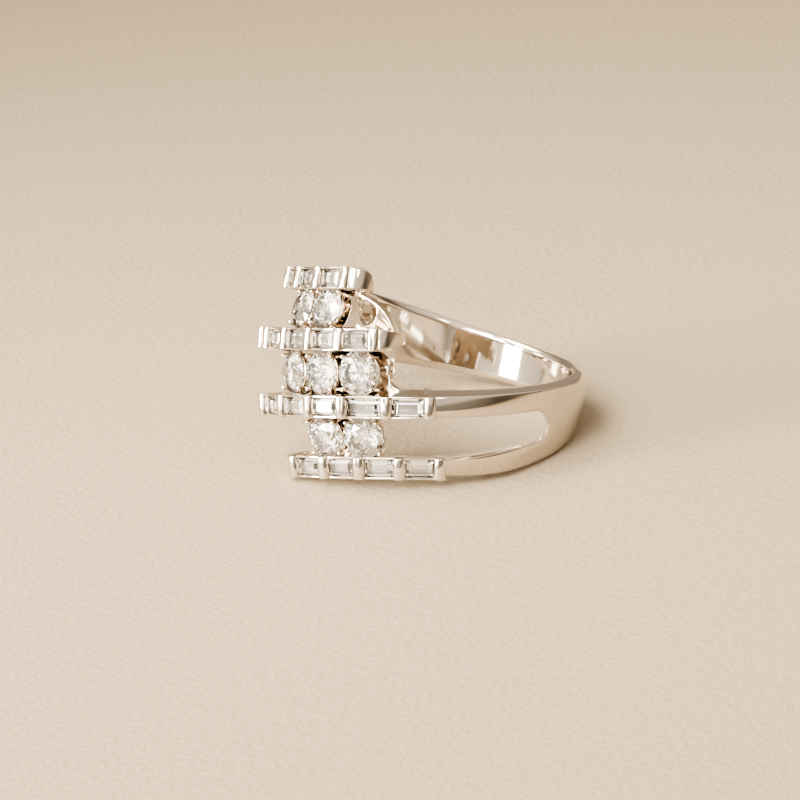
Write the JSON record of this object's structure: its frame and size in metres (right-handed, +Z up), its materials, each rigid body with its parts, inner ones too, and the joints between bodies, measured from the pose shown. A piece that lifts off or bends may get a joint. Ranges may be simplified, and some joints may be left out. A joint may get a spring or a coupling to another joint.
{
  "type": "crossover ring",
  "caption": "Finger ring with a split band whose slanted bars of step-cut baguettes pass each other over the head, with rows of round brilliants between them.",
  "frame": {"origin": "centre of the bounding box at the floor, with the ring lying as it rests", "axes": "+Z up; the head looks towards -Y, and the finger axis leans back from +Z"},
  "size_m": [0.0208, 0.022, 0.0139],
  "materials": {
    "white_gold": "polished",
    "brilliants": "clear, brilliant cut",
    "baguettes": "clear, step cut"
  },
  "bodies": {
    "root": {"band": "white_gold", "brilliant_1": "brilliants", "brilliant_2": "brilliants", "brilliant_3": "brilliants", "brilliant_4": "brilliants", "brilliant_5": "brilliants", "brilliant_6": "brilliants", "brilliant_7": "brilliants", "top_baguette_1": "baguettes", "top_baguette_2": "baguettes", "top_baguette_3": "baguettes", "top_baguette_4": "baguettes", "upper_baguette_1": "baguettes", "upper_baguette_2": "baguettes", "upper_baguette_3": "baguettes", "upper_baguette_4": "baguettes", "upper_baguette_5": "baguettes", "lower_baguette_1": "baguettes", "lower_baguette_2": "baguettes", "lower_baguette_3": "baguettes", "lower_baguette_4": "baguettes", "lower_baguette_5": "baguettes", "bottom_baguette_1": "baguettes", "bottom_baguette_2": "baguettes", "bottom_baguette_3": "baguettes", "bottom_baguette_4": "baguettes"}
  },
  "joints": []
}
